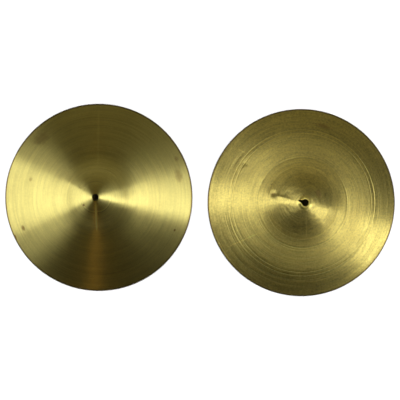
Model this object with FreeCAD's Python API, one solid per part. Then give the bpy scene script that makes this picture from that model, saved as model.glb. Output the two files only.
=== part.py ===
"""A pair of bare 14 inch hand cymbals, lying dome up side by side on a surface.

Each cymbal is one disc of sheet brass, spun to a shallow bow with a raised bell in the middle, and with a
half inch strap hole through its crown. No strap or pad is fitted. The left cymbal has the narrower bell,
and its hole is clean. The right cymbal has the wider bell. Its strap has drawn the brass round the hole up
into a short collar, and a notch is torn in the hole's left side.

Millimetres, +Z up. The origin is on the surface, midway between the two discs.
"""

import FreeCAD
import Part

import math
import os

# The spun blank, the same for both.
DIAMETER = 355.6  # 14 inches
SHEET = 1.0  # thickness of the brass, square to its surface
BOW_RADIUS = 1611.0  # the bow is part of this sphere
CROWN_HEIGHT = 15.7  # from the bow up to the bell's crown, both carried on to the axis
HOLE_DIAMETER = 12.7  # half an inch
RIM_LAND = 0.8  # width of the flat that the rim stands on
RIM_ROUND = 0.3  # rounding of the rim's upper corner

# The bells: where each would meet the bow if its foot were sharp, and the hollow curve round that foot.
LEFT_BELL_RADIUS = 65.0
LEFT_FOOT_CURVE = 84.0
RIGHT_BELL_RADIUS = 76.0
RIGHT_FOOT_CURVE = 73.0

# The right cymbal's worn strap hole.
COLLAR_CURVE = 8.0  # radius of the hollow curve that turns the crown up into the collar
COLLAR_STEEPNESS = 72.0  # degrees from level, at the hole
NOTCH_REACH = 14.2  # from the hole's axis to the notch's tip
NOTCH_MOUTH = 6.4  # width where the notch opens into the hole
NOTCH_TIP_RADIUS = 0.5
NOTCH_DIRECTION = 158.0  # degrees from +X, anticlockwise seen from above

# How they lie: from the middle of the pair to each disc's axis.
HALF_SPACING = 192.3
STAGGER = 5.0  # the left disc lies this far back, and the right disc as far forward

RADIUS = DIAMETER / 2
HOLE_RADIUS = HOLE_DIAMETER / 2
CUTTER_HEIGHT = 100.0  # taller than a cymbal
SAME = 1e-3  # two lengths nearer than this are the same

AXIS = FreeCAD.Vector(0, 0, 1)
CENTRE = FreeCAD.Vector(0, 0, 0)


class Arc:
    """An arc of the sheet's upper face in the radial plane, given by the circle that it is part of.

    bulge is 1 where the sheet bulges up, and -1 where it is hollow, with the circle's centre above it.
    A place on the arc is given by its fall: the angle from level at which it falls away from the axis.
    """

    def __init__(self, r, z, radius, bulge):
        self.r = r
        self.z = z
        self.radius = radius
        self.bulge = bulge

    def at(self, fall):
        reach = self.bulge * self.radius
        return FreeCAD.Vector(self.r + reach * math.sin(fall), 0, self.z + reach * math.cos(fall))

    def fall_at(self, r):
        return math.asin((r - self.r) / (self.bulge * self.radius))

    def underneath(self):
        """The same arc on the sheet's lower face."""
        return Arc(self.r, self.z, self.radius - self.bulge * SHEET, self.bulge)

    def edge(self, start, end):
        return Part.Arc(self.at(start), self.at((start + end) / 2), self.at(end)).toShape()


def bow_arc():
    """The bow, at the height where its lower face comes down to the surface at the rim's flat."""
    lower_radius = BOW_RADIUS - SHEET
    flat_start = RADIUS - RIM_LAND
    return Arc(0, -math.sqrt(lower_radius**2 - flat_start**2), BOW_RADIUS, 1)


def bell_arc(bow, bell_radius):
    foot_z = bow.at(bow.fall_at(bell_radius)).z
    crown_z = bow.at(0).z + CROWN_HEIGHT
    rise = crown_z - foot_z
    radius = (bell_radius**2 + rise**2) / (2 * rise)
    return Arc(0, crown_z - radius, radius, 1)


def foot_arc(bell, bow, curve):
    """The hollow curve that touches both bell and bow, and its fall at each."""
    to_bell = bell.radius + curve
    to_bow = bow.radius + curve
    apart = bell.z - bow.z
    z = bow.z + (to_bow**2 - to_bell**2 + apart**2) / (2 * apart)
    r = math.sqrt(to_bow**2 - (z - bow.z) ** 2)
    return Arc(r, z, curve, -1), math.atan2(r, z - bell.z), math.atan2(r, z - bow.z)


def collar_arc(bell):
    """The hollow curve that turns the crown up to the hole, and its fall where it leaves the bell."""
    r = HOLE_RADIUS + COLLAR_CURVE * math.sin(math.radians(COLLAR_STEEPNESS))
    to_bell = bell.radius + COLLAR_CURVE
    start = math.asin(r / to_bell)
    return Arc(r, bell.z + to_bell * math.cos(start), COLLAR_CURVE, -1), start


def face_edges(arcs, joins, rim):
    """One face of the sheet, from the hole out to the rim, with its arcs meeting at the falls in joins."""
    falls = [arcs[0].fall_at(HOLE_RADIUS), *joins, arcs[-1].fall_at(rim)]
    return [arc.edge(start, end) for arc, start, end in zip(arcs, falls, falls[1:])]


def spun_disc(bell_radius, foot_curve, collared):
    """A cymbal about the Z axis, with its hole but no notch."""
    bow = bow_arc()
    bell = bell_arc(bow, bell_radius)
    foot, foot_bell, foot_bow = foot_arc(bell, bow, foot_curve)
    arcs = [bell, foot, bow]
    joins = [foot_bell, foot_bow]
    if collared:
        collar, collar_bell = collar_arc(bell)
        arcs.insert(0, collar)
        joins.insert(0, collar_bell)

    upper = face_edges(arcs, joins, RADIUS)
    lower = face_edges([arc.underneath() for arc in arcs], joins, RADIUS - RIM_LAND)
    upper_rim = upper[-1].lastVertex().Point
    rim_corner = FreeCAD.Vector(RADIUS, 0, 0)
    rim_edge = Part.makeLine(upper_rim, rim_corner)
    rim_flat = Part.makeLine(rim_corner, lower[-1].lastVertex().Point)
    hole_wall = Part.makeLine(lower[0].firstVertex().Point, upper[0].firstVertex().Point)
    outline = Part.Wire([*upper, rim_edge, rim_flat, *reversed(lower), hole_wall])
    disc = Part.Face(outline).revolve(CENTRE, AXIS, 360)
    return round_rim(disc, upper_rim.z)


def round_rim(disc, height):
    """Rounds the rim's upper corner: the outermost circle, at the height given."""
    corner = [
        edge
        for edge in disc.Edges
        if isinstance(edge.Curve, Part.Circle)
        and abs(edge.Curve.Radius - RADIUS) < SAME
        and abs(edge.Curve.Center.z - height) < SAME
    ]
    return disc.makeFillet(RIM_ROUND, corner)


def notch():
    """A cutter for the torn notch: from the hole's axis, tapering to a rounded tip."""
    mouth_y = NOTCH_MOUTH / 2
    mouth_x = math.sqrt(HOLE_RADIUS**2 - mouth_y**2)
    tip_x = NOTCH_REACH - NOTCH_TIP_RADIUS
    mouth_right = FreeCAD.Vector(mouth_x, -mouth_y, 0)
    mouth_left = FreeCAD.Vector(mouth_x, mouth_y, 0)
    tip_right = FreeCAD.Vector(tip_x, -NOTCH_TIP_RADIUS, 0)
    tip_left = FreeCAD.Vector(tip_x, NOTCH_TIP_RADIUS, 0)
    outline = Part.Wire(
        [
            Part.makeLine(CENTRE, mouth_right),
            Part.makeLine(mouth_right, tip_right),
            Part.Arc(tip_right, FreeCAD.Vector(NOTCH_REACH, 0, 0), tip_left).toShape(),
            Part.makeLine(tip_left, mouth_left),
            Part.makeLine(mouth_left, CENTRE),
        ]
    )
    cutter = Part.Face(outline).extrude(CUTTER_HEIGHT * AXIS)
    cutter.rotate(CENTRE, AXIS, NOTCH_DIRECTION)
    return cutter


def left_cymbal():
    disc = spun_disc(LEFT_BELL_RADIUS, LEFT_FOOT_CURVE, collared=False)
    disc.translate(FreeCAD.Vector(-HALF_SPACING, STAGGER, 0))
    return disc


def right_cymbal():
    disc = spun_disc(RIGHT_BELL_RADIUS, RIGHT_FOOT_CURVE, collared=True).cut(notch())
    disc.translate(FreeCAD.Vector(HALF_SPACING, -STAGGER, 0))
    return disc


def main():
    os.makedirs("parts", exist_ok=True)
    for name, shape in (("left_cymbal", left_cymbal()), ("right_cymbal", right_cymbal())):
        shape.exportStep(os.path.join("parts", name + ".step"))
        print(name, "valid" if shape.isValid() else "NOT VALID", round(shape.Volume / 1000, 2), "cm3")


main()
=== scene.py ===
"""A pair of bare 14 inch hand cymbals, lying dome up side by side, dressed as worn spun brass.

Each cymbal is one disc of sheet brass. A Geometry Nodes tree spins the disc's section round its axis and
sets every point by the maker's rule: a shallow bow, a raised bell, the lathe's ripples and ring lines, and
then the wear that the disc has had. The finishes are brushed brass whose grain runs round each disc's axis.
"""

import logging
import math
from dataclasses import dataclass
from enum import Enum
from typing import Optional, Union

import bpy
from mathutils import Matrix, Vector


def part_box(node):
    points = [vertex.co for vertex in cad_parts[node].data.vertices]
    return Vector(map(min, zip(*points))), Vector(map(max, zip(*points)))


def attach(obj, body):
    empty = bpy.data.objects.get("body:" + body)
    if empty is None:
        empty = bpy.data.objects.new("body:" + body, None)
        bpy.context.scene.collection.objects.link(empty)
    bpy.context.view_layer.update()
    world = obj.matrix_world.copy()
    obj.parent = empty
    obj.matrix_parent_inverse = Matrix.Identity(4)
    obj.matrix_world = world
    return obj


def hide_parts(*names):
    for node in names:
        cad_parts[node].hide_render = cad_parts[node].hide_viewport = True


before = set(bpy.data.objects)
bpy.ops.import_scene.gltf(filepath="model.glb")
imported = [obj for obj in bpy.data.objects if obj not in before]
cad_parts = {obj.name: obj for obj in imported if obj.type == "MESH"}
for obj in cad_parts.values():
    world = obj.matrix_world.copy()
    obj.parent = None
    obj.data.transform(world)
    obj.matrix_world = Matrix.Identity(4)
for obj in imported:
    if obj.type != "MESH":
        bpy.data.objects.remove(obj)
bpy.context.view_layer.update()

LOG = logging.getLogger("hand_cymbals")
MM = 0.001
QUARTER_TURN = math.pi / 2
FULL_TURN = 2 * math.pi
WARM_WHITE = (1.0, 0.88, 0.50)
AMBER = (1.0, 0.56, 0.17)
# brown of real tarnish, also mixed in as painted shade at the rim and in dents, and as a painted dark
# reflection
BROWN_TARNISH_AND_SHADE = (0.36, 0.23, 0.068)

# The sockets of a Mix node that mixes colours, by number, because several share a name.
FIRST_COLOUR, SECOND_COLOUR, MIXED_COLOUR = 6, 7, 2


# ---------------------------------------------------------------- node benches


class Value:
    """A number or vector that runs through a node tree. Sums on it add the nodes that work them out."""

    def __init__(self, bench: "Bench", socket: bpy.types.NodeSocket) -> None:
        """Keeps the bench that the value is on and the socket that it comes out of."""
        self.bench = bench
        self.socket = socket

    def __add__(self, other: "Term") -> "Value":
        """Returns self + other."""
        return self.bench.maths("ADD", self, other)

    def __radd__(self, other: "Term") -> "Value":
        """Returns other + self."""
        return self.bench.maths("ADD", other, self)

    def __sub__(self, other: "Term") -> "Value":
        """Returns self - other."""
        return self.bench.maths("SUBTRACT", self, other)

    def __rsub__(self, other: "Term") -> "Value":
        """Returns other - self."""
        return self.bench.maths("SUBTRACT", other, self)

    def __mul__(self, other: "Term") -> "Value":
        """Returns self * other."""
        return self.bench.maths("MULTIPLY", self, other)

    def __rmul__(self, other: "Term") -> "Value":
        """Returns other * self."""
        return self.bench.maths("MULTIPLY", other, self)

    def __truediv__(self, other: "Term") -> "Value":
        """Returns self / other."""
        return self.bench.maths("DIVIDE", self, other)

    def __rtruediv__(self, other: "Term") -> "Value":
        """Returns other / self."""
        return self.bench.maths("DIVIDE", other, self)


Term = Union[float, Value]


class Bench:
    """A node tree being wired up, of either sort: the sums are the same in geometry and in materials."""

    def __init__(self, tree: bpy.types.NodeTree) -> None:
        """Keeps the tree that nodes are added to."""
        self.tree = tree

    def wire(self, term: object, socket: bpy.types.NodeSocket) -> None:
        """Feeds a socket.

        Args:
            term: a Value, which is linked, or a plain number or tuple, which becomes the socket's own value.
            socket: the input socket to feed.
        """
        if isinstance(term, Value):
            self.tree.links.new(term.socket, socket)
        else:
            socket.default_value = term

    def node(self, kind: str, inputs: Optional[dict] = None, **settings: object) -> bpy.types.Node:
        """Adds a node.

        Args:
            kind: the node's Blender type.
            inputs: what to feed to its inputs, by socket name or number.
            **settings: properties of the node, such as operation or data_type.

        Returns:
            The new node.
        """
        made = self.tree.nodes.new(kind)
        for name, setting in settings.items():
            setattr(made, name, setting)
        for key, term in (inputs or {}).items():
            self.wire(term, made.inputs[key])
        return made

    def value(
        self, kind: str, output: Union[str, int], inputs: Optional[dict] = None, **settings: object
    ) -> Value:
        """Adds a node and returns one of its outputs.

        Args:
            kind: the node's Blender type.
            output: the output socket's name or number.
            inputs: as in node().
            **settings: as in node().

        Returns:
            The output as a Value.
        """
        return Value(self, self.node(kind, inputs, **settings).outputs[output])

    def maths(self, operation: str, *terms: Term) -> Value:
        """Returns the result of one Math node on the terms given."""
        return self.value("ShaderNodeMath", 0, dict(enumerate(terms)), operation=operation)

    def vector_maths(self, operation: str, *terms: object) -> Value:
        """Returns the vector result of one Vector Math node on the terms given."""
        return self.value("ShaderNodeVectorMath", 0, dict(enumerate(terms)), operation=operation)

    def vector(self, x: Term, y: Term, z: Term) -> Value:
        """Returns a vector made of three numbers."""
        return self.value("ShaderNodeCombineXYZ", 0, {0: x, 1: y, 2: z})

    def parts(self, vector: Value) -> tuple[Value, Value, Value]:
        """Returns a vector's x, y and z."""
        split = self.node("ShaderNodeSeparateXYZ", {0: vector})
        return tuple(Value(self, socket) for socket in split.outputs)

    def at_least(self, term: Term, floor: Term) -> Value:
        """Returns the larger of two numbers."""
        return self.maths("MAXIMUM", term, floor)

    def at_most(self, term: Term, ceiling: Term) -> Value:
        """Returns the smaller of two numbers."""
        return self.maths("MINIMUM", term, ceiling)

    def root(self, term: Term) -> Value:
        """Returns the square root of a number, or 0 where the number is below 0."""
        return self.maths("SQRT", self.at_least(term, 0.0))

    def hill(self, distance: Term, width: float) -> Value:
        """Returns a smooth hill: 1 where the distance is 0, and about a third one width away from there."""
        ratio = distance / width
        return self.maths("EXPONENT", -1.0 * (ratio * ratio))

    def rise(self, term: Term, start: Term, end: Term) -> Value:
        """Returns a smooth step from 0 at start to 1 at end. Start may be the larger of the two."""
        inputs = {0: term, 1: start, 2: end, 3: 0.0, 4: 1.0}
        return self.value("ShaderNodeMapRange", 0, inputs, interpolation_type="SMOOTHSTEP")

    def noise(self, place: Value, scale: float, detail: float, roughness: float = 0.5) -> Value:
        """Returns a cloud pattern between 0 and 1.

        Args:
            place: the vector that the pattern is read at.
            scale: how many clouds fit in one unit.
            detail: how many finer layers are added.
            roughness: how strong the finer layers are.

        Returns:
            The pattern's value.
        """
        inputs = {"Vector": place, "Scale": scale, "Detail": detail, "Roughness": roughness}
        return self.value("ShaderNodeTexNoise", 0, inputs, noise_dimensions="3D")

    def mix_colours(self, factor: Value, first: object, second: object) -> Value:
        """Mixes two colours.

        Args:
            factor: how much of the second colour there is, from 0 to 1.
            first: the colour at 0, as a Value, or as its red, green, blue and alpha.
            second: the colour at 1, likewise.

        Returns:
            The mixed colour.
        """
        inputs = {"Factor": factor, FIRST_COLOUR: first, SECOND_COLOUR: second}
        return self.value("ShaderNodeMix", MIXED_COLOUR, inputs, data_type="RGBA")

    def in_frame(
        self, place: Value, at: tuple[float, float], angle: float, size: tuple[float, float]
    ) -> tuple[Value, Value]:
        """Measures a place from a spot of its own, along axes that are turned and stretched.

        Args:
            place: the place on the piece, measured from the disc's axis.
            at: the spot's x and y.
            angle: how far its axes are turned, in radians.
            size: the lengths that count as 1 along each of its axes.

        Returns:
            The place's x and y in the spot's own lengths.
        """
        inputs = {
            "Vector": place,
            "Location": (*at, 0.0),
            "Rotation": (0.0, 0.0, angle),
            "Scale": (*size, 1.0),
        }
        x, y, _ = self.parts(self.value("ShaderNodeMapping", 0, inputs, vector_type="TEXTURE"))
        return x, y


# ------------------------------------------------------------------- the forms


class Hand(Enum):
    """Which of the pair a cymbal is."""

    LEFT = "left"
    RIGHT = "right"

    @property
    def node(self) -> str:
        """The cymbal's node, which is also its body."""
        return self.value + "_cymbal"

    @property
    def slot(self) -> str:
        """The record's material slot."""
        return self.value + "_brass"


@dataclass(frozen=True)
class Blank:
    """The spun blank that both cymbals are made from. Lengths are in metres.

    The crown_height is how far the bell's crown stands above the bow, the rim_land is the width of the flat
    ring that the rim stands on, and the rim_round is the radius of the rim's upper edge.
    """

    diameter: float = 355.6 * MM
    sheet: float = 1.0 * MM
    hole: float = 12.7 * MM
    bow_radius: float = 1611.0 * MM
    crown_height: float = 15.7 * MM
    rim_land: float = 0.8 * MM
    rim_round: float = 0.3 * MM

    @property
    def radius(self) -> float:
        """The disc's radius."""
        return self.diameter / 2

    @property
    def hole_radius(self) -> float:
        """The strap hole's radius."""
        return self.hole / 2

    @property
    def bow_drop(self) -> float:
        """How far the centre of the bow's sphere lies below the surface that the rim stands on."""
        flat_start = self.radius - self.rim_land
        return math.sqrt((self.bow_radius - self.sheet) ** 2 - flat_start**2)

    @property
    def crown(self) -> float:
        """The height of the bell's crown, carried on to the axis."""
        return self.bow_radius - self.bow_drop + self.crown_height


@dataclass(frozen=True)
class HollowCurve:
    """A hollow arc in a disc's section: its centre, its radius, and the distances from the axis it spans."""

    out: float
    up: float
    radius: float
    start: float
    end: float

    def carry(self, bench: Bench, distance: Value, height: Value) -> Value:
        """Puts the arc into a section between its two ends.

        Args:
            bench: the tree to work on.
            distance: the distance from the axis.
            height: the section's height without the arc.

        Returns:
            The height with the arc in.
        """
        reach = distance - self.out
        arc = self.up - bench.root(self.radius**2 - reach * reach)
        inside = bench.maths("COMPARE", distance, (self.start + self.end) / 2, (self.end - self.start) / 2)
        return height + inside * (arc - height)


@dataclass(frozen=True)
class Bell:
    """A bell: where it would meet the bow if its foot were sharp, and the hollow curve round that foot."""

    radius: float
    foot_curve: float

    def sphere(self, blank: Blank) -> float:
        """Works out the sphere that the bell is part of.

        Args:
            blank: the disc's sizes.

        Returns:
            The sphere's radius.
        """
        foot = math.sqrt(blank.bow_radius**2 - self.radius**2) - blank.bow_drop
        height = blank.crown - foot
        return (self.radius**2 + height**2) / (2 * height)

    def foot(self, blank: Blank) -> HollowCurve:
        """Works out the hollow curve that touches both the bell and the bow.

        Args:
            blank: the disc's sizes.

        Returns:
            The curve round the bell's foot.
        """
        bell, bow = self.sphere(blank), blank.bow_radius
        bell_low, bow_low = blank.crown - bell, -blank.bow_drop
        apart = bell_low - bow_low
        from_bell, from_bow = bell + self.foot_curve, bow + self.foot_curve
        up = (from_bow**2 - from_bell**2 + apart**2) / (2 * apart) + bow_low
        out = math.sqrt(from_bow**2 - (up - bow_low) ** 2)
        return HollowCurve(out, up, self.foot_curve, out * bell / from_bell, out * bow / from_bow)


@dataclass(frozen=True)
class RingLine:
    """A line turned or worn into the sheet all the way round.

    Its brightening above 0 makes the line's colour brighter than the sheet beside it, and below 0 duller.
    Just outside the line, at its far lip, its colour changes the opposite way, but less.
    """

    radius: float
    width: float
    depth: float
    brightening: float
    lip_strength: float = 0.7
    lip_out: float = 2.2

    def dip(self, bench: Bench, distance: Value) -> Value:
        """Returns how deep the line is at a distance from the axis."""
        return self.depth * bench.hill(distance - self.radius, self.width)

    def light(self, bench: Bench, distance: Value) -> Value:
        """Works out the line's pattern in the colour: a bright line with a weaker dark one just outside it.

        Args:
            bench: the tree to work on.
            distance: the distance from the axis.

        Returns:
            The change in the light that the brass gives back, before it is scaled by the line's brightening.
        """
        beyond = distance - self.radius
        lip = bench.hill(beyond - self.lip_out * self.width, self.width)
        return bench.hill(beyond, self.width) - self.lip_strength * lip


@dataclass(frozen=True)
class Dent:
    """A knock in the sheet, centred at a distance and a direction from the axis. Angles are in degrees.

    The along is its half width round the axis, the across is its half width away from the axis, and a
    depth below 0 makes a ridge.
    """

    radius: float
    angle: float
    along: float
    across: float
    depth: float

    def dip(self, bench: Bench, x: Value, y: Value) -> Value:
        """Works out how deep the dent is at a place.

        Args:
            bench: the tree to work on.
            x: the place's x, from the disc's axis.
            y: the place's y, from the disc's axis.

        Returns:
            The depth there.
        """
        angle = math.radians(self.angle)
        out = x * math.cos(angle) + y * math.sin(angle) - self.radius
        side = y * math.cos(angle) - x * math.sin(angle)
        return self.depth * bench.hill(out, self.across) * bench.hill(side, self.along)


@dataclass(frozen=True)
class Ripples:
    """The waves that the spinning tool leaves, as their height and the distance from one to the next."""

    height: float
    pitch: float

    def dip(self, bench: Bench, distance: Value) -> Value:
        """Returns how deep the waves are at a distance from the axis."""
        place = bench.vector(distance / self.pitch, 0.0, 0.0)
        return self.height * bench.noise(place, scale=1.0, detail=2.0)


@dataclass(frozen=True)
class Collar:
    """The short collar that a strap has drawn up round its hole."""

    curve: float = 8.0 * MM
    steepness: float = math.radians(72)

    def rise(self, blank: Blank, bell: Bell) -> HollowCurve:
        """Works out the curve that leaves the bell and climbs to the hole's edge.

        Args:
            blank: the disc's sizes.
            bell: the bell that the collar stands on.

        Returns:
            The collar's curve.
        """
        sphere = bell.sphere(blank)
        out = blank.hole_radius + self.curve * math.sin(self.steepness)
        up = blank.crown - sphere + math.sqrt((sphere + self.curve) ** 2 - out**2)
        return HollowCurve(out, up, self.curve, 0.0, out * sphere / (sphere + self.curve))


@dataclass(frozen=True)
class Notch:
    """A notch torn in the hole's edge, narrowing from its mouth to its tip.

    The reach is its tip's distance from the axis, and the ease is how much further out the rows of the
    sheet take to come back to true circles.
    """

    reach: float = 14.2 * MM
    mouth: float = 6.4 * MM
    tip_width: float = 1.0 * MM
    angle: float = math.radians(158)
    ease: float = 8.0 * MM

    def edge(self, bench: Bench, angle: Value, blank: Blank) -> Value:
        """Returns how far from the axis the hole's edge lies, notch included.

        Args:
            bench: the tree to work on.
            angle: the direction from the axis.
            blank: the disc's sizes.

        Returns:
            The distance in that direction.
        """
        half_mouth = self.mouth / 2
        half_tip = self.tip_width / 2
        mouth_x = math.sqrt(blank.hole_radius**2 - half_mouth**2)
        tip_x = self.reach - half_tip
        taper = (half_mouth - half_tip) / (tip_x - mouth_x)
        away = bench.maths("ABSOLUTE", bench.maths("WRAP", angle - self.angle, math.pi, -math.pi))
        away = bench.at_most(away, QUARTER_TURN)
        slant = bench.maths("SINE", away) + taper * bench.maths("COSINE", away)
        edge = (half_tip + taper * tip_x) / slant
        return bench.at_most(bench.at_least(edge, blank.hole_radius), self.reach)


# -------------------------------------------------------------------- finishes


@dataclass(frozen=True)
class StainAndShade:
    """A stain, speck or worn patch, or a patch of painted shade or painted dark reflection, at a distance and
    a direction from the axis. Angles are in degrees.

    The along is its half width round the axis, and the across is its half width away from the axis. Its
    edge is ragged, and fades from full strength a quarter of the way out.
    """

    radius: float
    angle: float
    along: float
    across: float
    strength: float
    full_to: float = 0.25
    raggedness: float = 0.9

    def patch(self, bench: Bench, place: Value) -> Value:
        """Lays the patch on the brass.

        Args:
            bench: the tree to work on.
            place: the place on the piece, measured from the disc's axis.

        Returns:
            The mark's strength at its middle, and 0 beyond its edge.
        """
        angle = math.radians(self.angle)
        middle = (self.radius * math.cos(angle), self.radius * math.sin(angle))
        x, y = bench.in_frame(place, middle, angle, (self.across, self.along))
        clouds = bench.noise(place, scale=160.0, detail=3.0, roughness=0.6)
        ragged = self.raggedness * (clouds - 0.5)
        return self.strength * bench.rise(bench.root(x * x + y * y) + ragged, 1.0, self.full_to)


@dataclass(frozen=True)
class ScratchAndReflection:
    """A straight scratch, or a painted streak of reflection, between two places, each a distance and a
    direction in degrees.

    It fades in and out over the same share of its length at both ends.
    """

    start: tuple[float, float]
    end: tuple[float, float]
    width: float
    strength: float
    fade: float = 0.2

    def line(self, bench: Bench, place: Value) -> Value:
        """Draws the line on the brass.

        Args:
            bench: the tree to work on.
            place: the place on the piece, measured from the disc's axis.

        Returns:
            The line's strength along it, and 0 away from it.
        """
        start, end = (
            Vector((distance * math.cos(math.radians(angle)), distance * math.sin(math.radians(angle))))
            for distance, angle in (self.start, self.end)
        )
        run = end - start
        turn = math.atan2(run.y, run.x)
        x, y = bench.in_frame(place, tuple(start), turn, (run.length, self.width))
        ends = bench.rise(x, 0.0, self.fade) * bench.rise(x, 1.0, 1.0 - self.fade)
        return self.strength * ends * bench.hill(y, 1.0)


@dataclass(frozen=True)
class WornAndShadedBand:
    """A broad band, brighter inside and darker outside: partly wear, and partly painted shade that dims the
    highlights beyond it. It may be less sharply brushed.

    It fades over the edge's width on either side of its inner and outer distances. Its shine is added to the
    light that the brass gives back, above 0 inside the band and below 0 outside it, and the scuff to the
    roughness.
    """

    inner: float
    outer: float
    edge: float
    shine_and_shade: float
    scuff: float

    def cover(self, bench: Bench, distance: Value) -> Value:
        """Returns 1 inside the band and 0 outside it."""
        inside = bench.rise(distance, self.inner - self.edge, self.inner + self.edge)
        return inside * bench.rise(distance, self.outer + self.edge, self.outer - self.edge)


@dataclass(frozen=True)
class Grain:
    """The brushing that runs round the axis, as fine lines with broader bands between them.

    The pitches are the widths of the lines and the bands, and the arc_length is about how many radians a
    line runs before it fades.
    """

    pitch: float
    band_pitch: float
    contrast: float
    depth: float
    arc_length: float

    def lines(self, bench: Bench, distance: Value, angle_x: Value, angle_y: Value) -> Value:
        """Draws the brushing: lines round the axis that fade in and out along their length.

        Args:
            bench: the tree to work on.
            distance: the distance from the axis.
            angle_x: the x of the direction from the axis, whose length is 1.
            angle_y: the y of that direction.

        Returns:
            The brushing, from 0 to 1.
        """
        turns = 1.0 / self.arc_length
        fine, broad = (
            bench.noise(
                bench.vector(angle_x * turns, angle_y * turns, distance / pitch),
                scale=1.0,
                detail=2.0,
                roughness=0.6,
            )
            for pitch in (self.pitch, self.band_pitch)
        )
        return 0.5 * fine + 0.5 * broad


@dataclass(frozen=True)
class Rim:
    """Painted shade towards the disc's rim: the brass is mixed towards the tarnish colour and darkened near
    its edge, standing in for the shade of the rolled edge.

    Each start and end is measured in from the edge.
    """

    tarnish_and_shade: float = 0.75
    edge_shade_tint_start: float = 4.5 * MM
    edge_shade_tint_end: float = 0.5 * MM
    edge_shade: float = 0.6
    edge_shade_start: float = 2.4 * MM
    edge_shade_end: float = 1.0 * MM

    def edge_shade_tint(self, bench: Bench, distance: Value, radius: float) -> Value:
        """Returns how much tarnish colour the rim's painted shade mixes in, for the disc of that radius."""
        return self.tarnish_and_shade * bench.rise(distance, radius - self.edge_shade_tint_start, radius - self.edge_shade_tint_end)

    def edge_shaded(self, bench: Bench, distance: Value, radius: float) -> Value:
        """Returns the share of its light that the brass still gives back under the rim's painted shade."""
        return 1.0 - self.edge_shade * bench.rise(distance, radius - self.edge_shade_start, radius - self.edge_shade_end)


@dataclass(frozen=True)
class Pad:
    """Where the strap's pad has rubbed the brass round the hole.

    The core is the share of its radius that is rubbed fully. The polish brightening is added to the light
    that the brass gives back there: rubbed brass, and on the right cymbal mostly a painted highlight on its
    drawn collar. The smoothing is the share of the grain's depth that is gone.
    """

    radius: float
    polish_and_highlight: float
    core: float = 0.7
    smoothing: float = 0.85

    def cover(self, bench: Bench, distance: Value) -> Value:
        """Returns 1 under the pad and 0 beyond it."""
        return bench.rise(distance, self.radius, self.core * self.radius)


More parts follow.
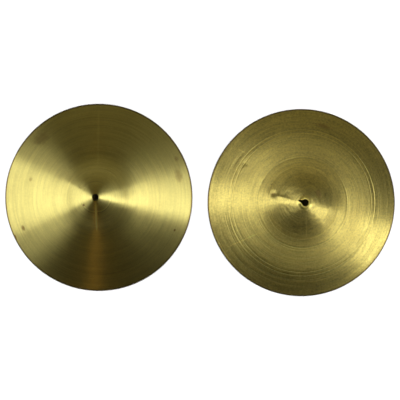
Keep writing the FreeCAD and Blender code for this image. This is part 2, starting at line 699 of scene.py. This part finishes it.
@dataclass(frozen=True)
class BrassFinish:
    """Brushed brass whose grain runs round an axis, with the marks that it has picked up, and with painted
    highlights, reflections and shade in its colour.

    The clouds and the speckle are the strengths of the tarnish's clouds and of the fine uneven shine, and
    soil_roughness is what the full tarnish colour adds to the roughness, both where the tarnish is real and
    where it stands in for shade.
    """

    name: str
    bright: tuple[float, float, float]
    tarnish_and_shade_colour: tuple[float, float, float]
    roughness: float
    anisotropy: float
    grain: Grain
    clouds: float
    speckle: float
    pad: Pad
    band: WornAndShadedBand
    stains_and_shades: tuple[StainAndShade, ...]
    scratches_and_reflections: tuple[ScratchAndReflection, ...]
    # the rim's painted shade
    rim: Rim = Rim()
    soil_roughness: float = 0.10

    def material(self, centre: Vector, radius: float, rings: tuple[RingLine, ...]) -> bpy.types.Material:
        """Makes the material.

        Args:
            centre: the disc's axis, where it meets the surface.
            radius: the disc's radius.
            rings: the ring lines, which are brighter or duller in colour than the sheet beside them.

        Returns:
            The material, which reads the piece's own object coordinates.
        """
        material = bpy.data.materials.new(self.name)
        material.use_nodes = True
        material.node_tree.nodes.clear()
        bench = Bench(material.node_tree)
        place = self.place_from_axis(bench, centre)
        x, y, _ = bench.parts(place)
        distance = bench.root(x * x + y * y)
        angle_x, angle_y = x / distance, y / distance
        lines = self.grain.lines(bench, distance, angle_x, angle_y)
        pad = self.pad.cover(bench, distance)
        band = self.band.cover(bench, distance)
        tarnish_and_shade = self.tarnish_and_shade(bench, place, distance, radius)
        tone_and_painted_light = self.tone_and_painted_light(bench, place, distance, lines, pad, rings)
        # painted shade: the rim darkens the brass at its edge, and the band's shine lightens inside the band
        # and darkens outside it
        tone_and_painted_light = tone_and_painted_light * self.rim.edge_shaded(bench, distance, radius) + self.band.shine_and_shade * (band - 0.5)
        bump = {"Strength": 1.0 - self.pad.smoothing * pad, "Distance": self.grain.depth, "Height": lines}
        inputs = {
            "Base Color": self.colour(bench, tarnish_and_shade, tone_and_painted_light),
            "Metallic": 1.0,
            "Roughness": self.roughness + self.soil_roughness * tarnish_and_shade + self.band.scuff * band,
            "Anisotropic": self.anisotropy,
            "Normal": bench.value("ShaderNodeBump", 0, bump),
            "Tangent": self.tangent(bench, angle_x, angle_y),
        }
        shader = bench.value("ShaderNodeBsdfPrincipled", 0, inputs)
        bench.wire(shader, bench.node("ShaderNodeOutputMaterial").inputs[0])
        return material

    def place_from_axis(self, bench: Bench, centre: Vector) -> Value:
        """Measures places from the disc's axis.

        Args:
            bench: the tree to work on.
            centre: the disc's axis, where it meets the surface.

        Returns:
            The place on the piece.
        """
        own = bench.value("ShaderNodeTexCoord", "Object")
        inputs = {"Vector": own, "Location": (-centre.x, -centre.y, 0.0)}
        return bench.value("ShaderNodeMapping", 0, inputs, vector_type="POINT")

    def tangent(self, bench: Bench, angle_x: Value, angle_y: Value) -> Value:
        """Works out which way the highlights stretch: out from the axis, across the grain.

        Args:
            bench: the tree to work on.
            angle_x: the x of the direction from the axis, whose length is 1.
            angle_y: the y of that direction.

        Returns:
            The direction, in the world's axes.
        """
        outwards = bench.vector(angle_x, angle_y, 0.0)
        settings = {"vector_type": "VECTOR", "convert_from": "OBJECT", "convert_to": "WORLD"}
        return bench.value("ShaderNodeVectorTransform", 0, {0: outwards}, **settings)

    def tarnish_and_shade(self, bench: Bench, place: Value, distance: Value, radius: float) -> Value:
        """Works out how far the brass is mixed towards the tarnish colour: real tarnish clouds and stains,
        plus painted shade at the rim and in dents, and a painted dark reflection on the collar.

        Args:
            bench: the tree to work on.
            place: the place on the piece, measured from the disc's axis.
            distance: the distance from the axis.
            radius: the disc's radius.

        Returns:
            The tarnish and painted shade, from 0 to 1.
        """
        clouds = bench.noise(place, scale=14.0, detail=5.0, roughness=0.65)
        clouds = bench.rise(clouds, start=0.40, end=0.80)
        # real tarnish clouds, plus the rim's painted shade mixed in as tarnish colour
        total = self.clouds * clouds + self.rim.edge_shade_tint(bench, distance, radius)
        # stains, plus painted shade in dents and a painted dark reflection on the collar
        for stain_and_shade in self.stains_and_shades:
            total = total + stain_and_shade.patch(bench, place)
        return bench.at_most(bench.at_least(total, 0.0), 1.0)

    def tone_and_painted_light(
        self,
        bench: Bench,
        place: Value,
        distance: Value,
        lines: Value,
        pad: Value,
        rings: tuple[RingLine, ...],
    ) -> Value:
        """Works out how much light the brass gives back: its grain and speckle, with painted highlights,
        reflections and shade laid on.

        Args:
            bench: the tree to work on.
            place: the place on the piece, measured from the disc's axis.
            distance: the distance from the axis.
            lines: the brushing, from 0 to 1.
            pad: 1 under the strap's pad and 0 beyond it.
            rings: the ring lines, which are brighter or duller in colour than the sheet beside them.

        Returns:
            The light, where 1 is the plain colour's own.
        """
        speckle = self.speckle * (bench.noise(place, scale=300.0, detail=1.0) - 0.5)
        # the pad's brightening: rubbed brass, and on the right cymbal mostly a painted highlight on the
        # collar
        tone_and_painted_light = 1.0 + self.grain.contrast * (lines - 0.5) + speckle * (1.0 - pad) + self.pad.polish_and_highlight * pad
        patchy = bench.rise(bench.noise(place, scale=9.0, detail=2.0), start=0.30, end=0.65)
        for ring in rings:
            # ring lines brighter or duller in colour, patchy round the disc
            tone_and_painted_light = tone_and_painted_light + ring.brightening * patchy * ring.light(bench, distance)
        # real scratches, and painted streaks of reflection
        for scratch_and_reflection in self.scratches_and_reflections:
            tone_and_painted_light = tone_and_painted_light + scratch_and_reflection.line(bench, place)
        return tone_and_painted_light

    def colour(self, bench: Bench, tarnish_and_shade: Value, tone_and_painted_light: Value) -> Value:
        """Works out the brass's colour: browner where it is tarnished and where shade is painted, and scaled
        by the light it gives back, painted light included.

        Args:
            bench: the tree to work on.
            tarnish_and_shade: the tarnish and painted shade, from 0 to 1.
            tone_and_painted_light: the light that the brass gives back, with its painted light and shade.

        Returns:
            The colour.
        """
        brass = bench.mix_colours(tarnish_and_shade, (*self.bright, 1.0), (*self.tarnish_and_shade_colour, 1.0))
        return bench.value("ShaderNodeVectorMath", 0, {0: brass, "Scale": tone_and_painted_light}, operation="SCALE")


# ------------------------------------------------------------------ the discs


@dataclass
class Cymbal:
    """One cymbal: its form, its wear and its finish.

    The segments are the steps that it is spun in. The rows are the points of its section, which crowd
    towards the hole: crowding is the power that their places follow, where 1 would space them evenly. The
    slope_step is the half step that slopes are measured over, and edges that bend by more than sharp_bend
    stay sharp.
    """

    hand: Hand
    bell: Bell
    ripples: Ripples
    rings: tuple[RingLine, ...]
    dents: tuple[Dent, ...]
    finish: BrassFinish
    collar: Optional[Collar] = None
    notch: Optional[Notch] = None
    blank: Blank = Blank()
    segments: int = 176
    upper_rows: int = 420
    rim_rows: int = 3
    lower_rows: int = 100
    crowding: float = 1.15
    slope_step: float = 0.05 * MM
    merge_distance: float = 0.002 * MM
    sharp_bend: float = math.radians(32)

    @property
    def centre(self) -> Vector:
        """The disc's axis, where it meets the surface.

        Returns:
            The middle of the CAD node's box, at its foot.
        """
        low, high = (Vector(corner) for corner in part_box(self.hand.node))
        middle = (low + high) / 2
        return Vector((middle.x, middle.y, low.z))

    def section(self) -> bpy.types.Object:
        """Makes the section: one point for each row of the disc.

        A point's x is its distance from the axis, and its z is how deep it lies in the sheet, from 0 on the
        upper face to 1 on the lower one. The rows run out over the upper face, round the rim, back under the
        lower face and up the hole's wall to where they started.

        Returns:
            An object that holds the section, for the tree to spin.
        """
        blank = self.blank
        hole, rim = blank.hole_radius, blank.radius
        corner = rim - blank.rim_round
        rows = [
            (hole + (corner - hole) * (row / (self.upper_rows - 1)) ** self.crowding, 0.0)
            for row in range(self.upper_rows)
        ]
        for step in range(1, self.rim_rows + 1):
            turn = QUARTER_TURN * step / self.rim_rows
            deep = blank.rim_round * (1 - math.cos(turn)) / blank.sheet
            rows.append((corner + blank.rim_round * math.sin(turn), deep))
        rows += [
            (hole + (rim - hole) * (1 - row / (self.lower_rows - 1)) ** self.crowding, 1.0)
            for row in range(self.lower_rows)
        ]
        rows.append(rows[0])
        mesh = bpy.data.meshes.new(self.hand.node + "_section")
        edges = [(n, n + 1) for n in range(len(rows) - 1)]
        mesh.from_pydata([(distance, 0.0, deep) for distance, deep in rows], edges, [])
        made = bpy.data.objects.new(self.hand.node + "_section", mesh)
        bpy.context.scene.collection.objects.link(made)
        return made

    def height_group(self) -> bpy.types.NodeTree:
        """Makes the rule for the upper face's height, as a node group.

        Returns:
            A group that takes a distance and a direction from the axis, and gives the height there.
        """
        tree = bpy.data.node_groups.new(self.hand.node + " height", "GeometryNodeTree")
        for name in ("Distance", "Angle"):
            tree.interface.new_socket(name, in_out="INPUT", socket_type="NodeSocketFloat")
        tree.interface.new_socket("Height", in_out="OUTPUT", socket_type="NodeSocketFloat")
        bench = Bench(tree)
        entry = bench.node("NodeGroupInput")
        distance, angle = (Value(bench, entry.outputs[name]) for name in ("Distance", "Angle"))
        height = self.spun_height(bench, distance)
        x = distance * bench.maths("COSINE", angle)
        y = distance * bench.maths("SINE", angle)
        for dent in self.dents:
            height = height - dent.dip(bench, x, y)
        bench.wire(height, bench.node("NodeGroupOutput").inputs["Height"])
        return tree

    def spun_height(self, bench: Bench, distance: Value) -> Value:
        """Works out the height that the lathe gave the upper face, the same all the way round.

        Args:
            bench: the tree to work on.
            distance: the distance from the axis.

        Returns:
            The height above the surface that the disc lies on.
        """
        blank = self.blank
        square = distance * distance
        bow = bench.root(blank.bow_radius**2 - square) - blank.bow_drop
        sphere = self.bell.sphere(blank)
        bell = bench.root(sphere**2 - square) + (blank.crown - sphere)
        height = self.bell.foot(blank).carry(bench, distance, bench.at_least(bow, bell))
        if self.collar:
            height = self.collar.rise(blank, self.bell).carry(bench, distance, height)
        height = height - self.ripples.dip(bench, distance)
        for ring in self.rings:
            height = height - ring.dip(bench, distance)
        return height

    def spin_tree(self, material: bpy.types.Material) -> bpy.types.NodeTree:
        """Makes the tree that spins the section into a disc.

        Args:
            material: the finish to set.

        Returns:
            The tree, with the number of segments, the sheet's thickness and the axis's place as inputs.
        """
        tree = bpy.data.node_groups.new(self.hand.node + " spinning", "GeometryNodeTree")
        tree.interface.new_socket("Section", in_out="INPUT", socket_type="NodeSocketGeometry")
        for name, kind in (
            ("Segments", "NodeSocketInt"),
            ("Sheet thickness", "NodeSocketFloat"),
            ("Axis place", "NodeSocketVector"),
        ):
            tree.interface.new_socket(name, in_out="INPUT", socket_type=kind)
        tree.interface.new_socket("Disc", in_out="OUTPUT", socket_type="NodeSocketGeometry")
        bench = Bench(tree)
        entry = bench.node("NodeGroupInput")
        section, segments, sheet, axis_place = (
            Value(bench, entry.outputs[name])
            for name in ("Section", "Segments", "Sheet thickness", "Axis place")
        )
        rows = bench.value("GeometryNodeAttributeDomainSize", "Point Count", {0: section}, component="MESH")
        columns = segments + 1.0
        grid = bench.value("GeometryNodeMeshGrid", "Mesh", {"Vertices X": rows, "Vertices Y": columns})
        index = bench.value("GeometryNodeInputIndex", 0)
        row = bench.maths("FLOOR", (index + 0.5) / columns)
        column = index - row * columns
        angle = column / segments * FULL_TURN
        point = bench.value(
            "GeometryNodeSampleIndex",
            0,
            {"Geometry": section, "Value": bench.value("GeometryNodeInputPosition", 0), "Index": row},
            data_type="FLOAT_VECTOR",
            domain="POINT",
        )
        distance, _, deep = bench.parts(point)
        place = self.sheet_place(bench, distance, deep, angle, sheet)
        moved = bench.value(
            "GeometryNodeSetPosition",
            0,
            {"Geometry": grid, "Position": bench.vector_maths("ADD", place, axis_place)},
        )
        ends = {"Geometry": moved, "Distance": self.merge_distance}
        closed = bench.value("GeometryNodeMergeByDistance", 0, ends)
        self.finish_tree(bench, closed, material)
        return tree

    def sheet_place(self, bench: Bench, distance: Value, deep: Value, angle: Value, sheet: Value) -> Value:
        """Returns where a point of the sheet lies, measured from the disc's axis.

        Args:
            bench: the tree to work on.
            distance: the row's distance from the axis, before any notch.
            deep: how deep the point lies in the sheet.
            angle: the column's direction from the axis.
            sheet: the sheet's thickness.

        Returns:
            The place as a vector.
        """
        hole = self.blank.hole_radius
        edge: Term = hole
        if self.notch:
            edge = self.notch.edge(bench, angle, self.blank)
            eased = self.notch.reach + self.notch.ease
            left_over = bench.at_least(eased - distance, 0.0) / (eased - hole)
            distance = distance + (edge - hole) * left_over
        group = self.height_group()
        step = self.slope_step

        def height_at(where: Value) -> Value:
            """Adds the height group once more.

            Args:
                where: the distance from the axis.

            Returns:
                The upper face's height there, in the column's direction.
            """
            made = bench.node("GeometryNodeGroup", node_tree=group)
            bench.wire(where, made.inputs["Distance"])
            bench.wire(angle, made.inputs["Angle"])
            return Value(bench, made.outputs["Height"])

        fall = (height_at(distance - step) - height_at(distance + step)) / (2 * step)
        length = bench.root(fall * fall + 1.0)
        sunk = deep * sheet / length
        out = bench.at_least(distance - sunk * fall, edge)
        up = bench.at_least(height_at(distance) - sunk, 0.0)
        return bench.vector(out * bench.maths("COSINE", angle), out * bench.maths("SINE", angle), up)

    def finish_tree(self, bench: Bench, disc: Value, material: bpy.types.Material) -> None:
        """Ends the tree: shading, instances made real, the finish and the output.

        Args:
            bench: the tree to work on.
            disc: the closed disc.
            material: the finish to set.
        """
        bend = bench.value("GeometryNodeInputMeshEdgeAngle", "Unsigned Angle")
        soft = bench.value("FunctionNodeCompare", 0, {0: bend, 1: self.sharp_bend}, operation="LESS_THAN")
        smooth = bench.value(
            "GeometryNodeSetShadeSmooth", 0, {"Geometry": disc, "Shade Smooth": soft}, domain="EDGE"
        )
        real = bench.value("GeometryNodeRealizeInstances", 0, {"Geometry": smooth})
        dressed = bench.value("GeometryNodeSetMaterial", 0, {"Geometry": real, "Material": material})
        bench.wire(dressed, bench.node("NodeGroupOutput").inputs["Disc"])

    def build(self) -> bpy.types.Object:
        """Makes the cymbal as a plain mesh.

        Returns:
            The piece, with its finish on.
        """
        centre = self.centre
        material = self.finish.material(centre, self.blank.radius, self.rings)
        section = self.section()
        spinning = section.modifiers.new("spinning", "NODES")
        spinning.node_group = self.spin_tree(material)
        settings = {
            "Segments": self.segments,
            "Sheet thickness": self.blank.sheet,
            "Axis place": tuple(centre),
        }
        for item in spinning.node_group.interface.items_tree:
            if item.name in settings:
                spinning[item.identifier] = settings[item.name]
        depsgraph = bpy.context.evaluated_depsgraph_get()
        mesh = bpy.data.meshes.new_from_object(section.evaluated_get(depsgraph), depsgraph=depsgraph)
        bpy.data.objects.remove(section)
        piece = bpy.data.objects.new(self.hand.node + "_brass", mesh)
        bpy.context.scene.collection.objects.link(piece)
        turn_faces_out(mesh)
        return piece

    def fit(self, piece: bpy.types.Object) -> None:
        """Puts the piece in place of its CAD node, on the cymbal's own body.

        Args:
            piece: the cymbal's mesh.
        """
        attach(piece, self.hand.node)
        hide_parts(self.hand.node)
        self.hand.slot


def turn_faces_out(mesh: bpy.types.Mesh) -> None:
    """Turns a closed mesh's faces over if they point inwards, which makes the volume below 0.

    Args:
        mesh: the closed mesh.
    """
    volume = 0.0
    points = mesh.vertices
    for face in mesh.polygons:
        first = points[face.vertices[0]].co
        for a, b in zip(face.vertices[1:], face.vertices[2:]):
            volume += first.dot(points[a].co.cross(points[b].co))
    if volume < 0:
        mesh.flip_normals()


# ------------------------------------------------------------------ the studio


@dataclass(frozen=True)
class Softbox:
    """A flat soft light that hangs level, facing down.

    Places and sizes are in metres, the turn is in degrees, and the radiance is the brightness of its face. A
    floor_only one lights the floor and nothing else, and the others light everything but the floor.
    """

    name: str
    place: tuple[float, float, float]
    width: float
    depth: float
    radiance: float
    colour: tuple[float, float, float] = (1.0, 1.0, 1.0)
    turn: float = 0.0
    floor_only: bool = False

    def build(self) -> bpy.types.Object:
        """Makes the light.

        Returns:
            The light's object.
        """
        data = bpy.data.lights.new(self.name, "AREA")
        data.shape = "RECTANGLE"
        data.size = self.width
        data.size_y = self.depth
        data.energy = self.radiance * math.pi * self.width * self.depth
        data.color = self.colour
        light = bpy.data.objects.new(self.name, data)
        light.location = self.place
        light.rotation_euler = (0.0, 0.0, math.radians(self.turn))
        light.visible_camera = False
        bpy.context.scene.collection.objects.link(light)
        return light


@dataclass
class Studio:
    """The floor, the lights, the room round them and the camera.

    The room reflects as a pale glow that fades out from the horizon up to glow_top, where 0 is level and 1 is
    straight up. Where the room itself shows, it is the plain backdrop.
    """

    softboxes: tuple[Softbox, ...]
    camera_height: float = 0.761
    lens: float = 36.0
    sensor: float = 36.0
    floor_size: float = 9.0
    floor_colour: tuple[float, float, float] = (0.86, 0.86, 0.86)
    floor_roughness: float = 0.9
    zenith: tuple[float, float, float] = (0.017, 0.0135, 0.0042)
    horizon: tuple[float, float, float] = (1.45, 1.40, 1.20)
    glow_top: float = 0.13
    backdrop: tuple[float, float, float] = (0.80, 0.80, 0.78)

    def build(self) -> None:
        """Sets up the whole studio, and says which lights fall on the floor and which on the pair."""
        scene = bpy.context.scene
        scene.view_settings.view_transform = "Standard"
        self.room()
        floor = self.floor()
        only_floor, all_but_floor = (
            bpy.data.collections.new(name) for name in ("only the floor", "all but the floor")
        )
        for group in (only_floor, all_but_floor):
            group.objects.link(floor)
        all_but_floor.collection_objects[0].light_linking.link_state = "EXCLUDE"
        for softbox in self.softboxes:
            light = softbox.build()
            receivers = only_floor if softbox.floor_only else all_but_floor
            light.light_linking.receiver_collection = receivers
        scene.camera = self.camera()

    def camera(self) -> bpy.types.Object:
        """Makes the camera, looking straight down at the middle of the pair.

        Returns:
            The camera's object.
        """
        data = bpy.data.cameras.new("camera")
        data.sensor_width = self.sensor
        data.lens = self.lens
        camera = bpy.data.objects.new("camera", data)
        camera.location = (0.0, 0.0, self.camera_height)
        bpy.context.scene.collection.objects.link(camera)
        return camera

    def floor(self) -> bpy.types.Object:
        """Makes the plain pale floor.

        Returns:
            The floor's object.
        """
        half = self.floor_size / 2
        corners = [(-half, -half, 0.0), (half, -half, 0.0), (half, half, 0.0), (-half, half, 0.0)]
        mesh = bpy.data.meshes.new("floor")
        mesh.from_pydata(corners, [], [(0, 1, 2, 3)])
        material = bpy.data.materials.new("pale floor")
        material.use_nodes = True
        shader = material.node_tree.nodes["Principled BSDF"]
        shader.inputs["Base Color"].default_value = (*self.floor_colour, 1.0)
        shader.inputs["Roughness"].default_value = self.floor_roughness
        mesh.materials.append(material)
        floor = bpy.data.objects.new("floor", mesh)
        bpy.context.scene.collection.objects.link(floor)
        return floor

    def room(self) -> None:
        """Makes the room round the pair: dark overhead, pale towards the horizon, plain where it shows."""
        world = bpy.data.worlds.new("room")
        world.use_nodes = True
        world.node_tree.nodes.clear()
        bench = Bench(world.node_tree)
        _, _, up = bench.parts(bench.value("ShaderNodeTexCoord", "Generated"))
        above = bench.rise(up, 0.0, self.glow_top)
        reflected = bench.mix_colours(above, (*self.horizon, 1.0), (*self.zenith, 1.0))
        seen = bench.value("ShaderNodeLightPath", "Is Camera Ray")
        colour = bench.mix_colours(seen, reflected, (*self.backdrop, 1.0))
        background = bench.value("ShaderNodeBackground", 0, {"Color": colour})
        bench.wire(background, bench.node("ShaderNodeOutputWorld").inputs[0])
        bpy.context.scene.world = world


# --------------------------------------------------------------------- the pair


def left_cymbal() -> Cymbal:
    """Describes the finely brushed cymbal, whose strap pad has left a ring round the hole.

    Returns:
        The left cymbal.
    """
    return Cymbal(
        hand=Hand.LEFT,
        bell=Bell(radius=65.0 * MM, foot_curve=84.0 * MM),
        ripples=Ripples(height=0.03 * MM, pitch=5.0 * MM),
        rings=(RingLine(27.0 * MM, 0.9 * MM, 0.10 * MM, 0.35),),
        dents=(Dent(26.6 * MM, 213.0, 1.6 * MM, 1.6 * MM, 0.25 * MM),),
        finish=BrassFinish(
            name="fine brushed brass",
            bright=(0.78, 0.685, 0.222),
            tarnish_and_shade_colour=BROWN_TARNISH_AND_SHADE,
            roughness=0.282,
            anisotropy=1.0,
            grain=Grain(2.0 * MM, 5.0 * MM, contrast=0.6, depth=0.4 * MM, arc_length=0.7),
            clouds=0.18,
            speckle=0.15,
            pad=Pad(radius=27.0 * MM, polish_and_highlight=0.08),
            # painted shade: lighter over the middle, darker towards the rim, dimming the outer highlights
            band=WornAndShadedBand(-60.0 * MM, 120.0 * MM, 34.0 * MM, shine_and_shade=0.16, scuff=0.0),
            stains_and_shades=(
                StainAndShade(156.0 * MM, 134.0, 24.0 * MM, 16.0 * MM, 0.50),
                StainAndShade(157.0 * MM, 15.5, 18.0 * MM, 9.0 * MM, 0.50),
                StainAndShade(165.0 * MM, 26.5, 8.0 * MM, 5.0 * MM, 0.60),
                StainAndShade(157.0 * MM, -23.3, 4.0 * MM, 3.0 * MM, 1.0),
                StainAndShade(176.0 * MM, 205.4, 8.0 * MM, 3.4 * MM, 1.0),
                StainAndShade(153.8 * MM, 202.4, 7.0 * MM, 4.5 * MM, 0.80),
                StainAndShade(132.0 * MM, 165.0, 6.0 * MM, 4.5 * MM, 0.45),
                # darker in the small dent at 213 degrees
                StainAndShade(26.6 * MM, 213.0, 3.0 * MM, 2.6 * MM, 1.0),
            ),
            scratches_and_reflections=(
                # painted reflection: the lighter warm streak down from the hole, which the warm strip also
                # lights
                ScratchAndReflection((9.0 * MM, 278.0), (66.0 * MM, 269.0), 1.3 * MM, 1.1),
                # painted reflection: the faint lighter streak above the hole, across from the one below it
                ScratchAndReflection((50.0 * MM, 89.0), (172.0 * MM, 90.0), 2.2 * MM, 0.12),
            ),
        ),
    )


def right_cymbal() -> Cymbal:
    """Describes the coarsely lathed cymbal, which has been played hard: torn hole, drawn collar and dents.

    Returns:
        The right cymbal.
    """
    return Cymbal(
        hand=Hand.RIGHT,
        bell=Bell(radius=76.0 * MM, foot_curve=73.0 * MM),
        ripples=Ripples(height=0.16 * MM, pitch=6.0 * MM),
        rings=(
            RingLine(68.0 * MM, 1.0 * MM, 0.14 * MM, 0.12),
            RingLine(84.5 * MM, 1.3 * MM, 0.30 * MM, -0.24),
            RingLine(88.5 * MM, 0.9 * MM, 0.12 * MM, -0.10),
            RingLine(131.0 * MM, 1.0 * MM, 0.26 * MM, 0.20),
            RingLine(137.5 * MM, 1.0 * MM, 0.26 * MM, 0.26),
            RingLine(146.0 * MM, 0.9 * MM, 0.10 * MM, 0.12),
        ),
        dents=(
            Dent(57.5 * MM, 163.5, 5.5 * MM, 5.0 * MM, 0.8 * MM),
            Dent(44.0 * MM, 165.5, 3.2 * MM, 18.0 * MM, -0.20 * MM),
            Dent(35.0 * MM, 176.0, 12.0 * MM, 17.5 * MM, -0.60 * MM),
            Dent(130.0 * MM, 145.5, 6.0 * MM, 5.0 * MM, 0.5 * MM),
            Dent(30.0 * MM, 22.0, 8.0 * MM, 4.0 * MM, 0.4 * MM),
        ),
        collar=Collar(),
        notch=Notch(),
        finish=BrassFinish(
            name="lathed worn brass",
            bright=(0.79, 0.66, 0.19),
            tarnish_and_shade_colour=BROWN_TARNISH_AND_SHADE,
            roughness=0.282,
            anisotropy=0.85,
            grain=Grain(2.2 * MM, 7.0 * MM, contrast=1.0, depth=0.6 * MM, arc_length=0.5),
            clouds=0.22,
            speckle=0.60,
            # the pad's brightening here is mostly a painted highlight on the drawn collar round the hole
            pad=Pad(radius=17.0 * MM, polish_and_highlight=0.45),
            # brighter worn band, with painted shade darkening the brass on either side of it
            band=WornAndShadedBand(58.0 * MM, 126.0 * MM, 16.0 * MM, shine_and_shade=0.24, scuff=0.10),
            stains_and_shades=(
                StainAndShade(151.0 * MM, 74.5, 22.0 * MM, 6.0 * MM, 0.6),
                # painted reflection: a dark bar at the top of the collar, between its highlights
                StainAndShade(13.5 * MM, 96.0, 1.2 * MM, 3.0 * MM, 1.0),
                # painted shade: darker in the dent at 163.5 degrees
                StainAndShade(57.5 * MM, 163.5, 4.0 * MM, 4.0 * MM, 0.6),
                # painted shade: a darker zone round the dent up and to the right of the hole
                StainAndShade(31.0 * MM, 33.0, 11.0 * MM, 8.0 * MM, 0.7),
                StainAndShade(68.0 * MM, 150.0, 1.6 * MM, 1.6 * MM, 0.7),
            ),
            scratches_and_reflections=(
                ScratchAndReflection((171.6 * MM, 210.7), (93.7 * MM, 215.8), 1.0 * MM, 0.30),
                ScratchAndReflection((159.6 * MM, 139.9), (140.0 * MM, 138.4), 1.2 * MM, 0.35),
                # painted reflection: the lighter streak down from the hole
                ScratchAndReflection((14.0 * MM, 279.5), (68.0 * MM, 275.5), 1.3 * MM, 0.25),
            ),
        ),
    )


def studio() -> Studio:
    """Describes the studio.

    The left softboxes lie in a V that opens to the left, and give the left cymbal's left highlight. The
    overhead ones give both highlights between the discs. The right ones run out to the right in a V that
    gives the right cymbal's other highlight. Faint warm ones behind and in front fill in the dark parts, and
    one narrow warm strip streaks the left disc. Four lights in the distance light the floor evenly.

    Returns:
        The studio.
    """
    level = 1.0
    floor_light_out, floor_light_up, floor_radiance = 4.0, 2.0, 12.5
    return Studio(
        softboxes=(
            Softbox("left softbox, behind", (-1.32, 0.31, level), 1.50, 0.15, 2.2, turn=-28.0),
            Softbox("left softbox, in front", (-1.10, -0.11, level), 0.90, 0.27, 2.15, turn=26.0),
            Softbox("left softbox, near", (-0.78, 0.0, level), 0.20, 0.60, 2.1),
            Softbox("left softbox, between", (-1.30, 0.04, level), 0.50, 0.36, 1.8),
            Softbox("left softbox, far", (-2.30, 0.08, level), 0.80, 1.20, 1.3),
            Softbox("overhead softbox", (0.03, 0.0, level), 0.67, 0.18, 2.2, turn=-8.0),
            Softbox("overhead softbox, right", (0.18, 0.02, level), 0.16, 0.40, 2.2),
            Softbox("right softbox, near", (0.66, -0.19, level), 0.30, 0.16, 1.9, turn=-30.0),
            Softbox("right softbox, in front", (1.02, -0.41, level), 1.17, 0.11, 2.5, turn=-46.0),
            Softbox("right softbox", (1.21, -0.30, level), 0.96, 0.14, 3.9),
            Softbox("back softbox", (0.0, 2.25, level), 4.20, 3.50, 0.15, WARM_WHITE),
            Softbox("back softbox, near left", (-0.80, 0.52, level), 1.50, 0.64, 0.020, WARM_WHITE),
            Softbox("back softbox, near right", (0.80, 0.52, level), 1.50, 0.64, 0.046, WARM_WHITE),
            Softbox("front softbox, near right", (0.80, -0.72, level), 1.50, 0.90, 0.008, WARM_WHITE),
            Softbox("warm strip", (-0.52, -0.75, level), 0.034, 1.30, 0.50, AMBER, turn=-7.5),
            *(
                Softbox(
                    "floor light, " + side,
                    (x * floor_light_out, y * floor_light_out, floor_light_up),
                    width,
                    depth,
                    floor_radiance,
                    floor_only=True,
                )
                for side, x, y, width, depth in (
                    ("left", -1.0, 0.0, 2.0, 4.0),
                    ("right", 1.0, 0.0, 2.0, 4.0),
                    ("behind", 0.0, 1.0, 4.0, 2.0),
                    ("in front", 0.0, -1.0, 4.0, 2.0),
                )
            ),
        )
    )


def main() -> None:
    """Builds the studio and the pair, and reports each piece."""
    logging.basicConfig(level=logging.INFO, format="%(name)s: %(message)s")
    studio().build()
    for cymbal in (left_cymbal(), right_cymbal()):
        piece = cymbal.build()
        cymbal.fit(piece)
        LOG.info("%s: %d faces", piece.name, len(piece.data.polygons))


if __name__ == "__main__":
    main()
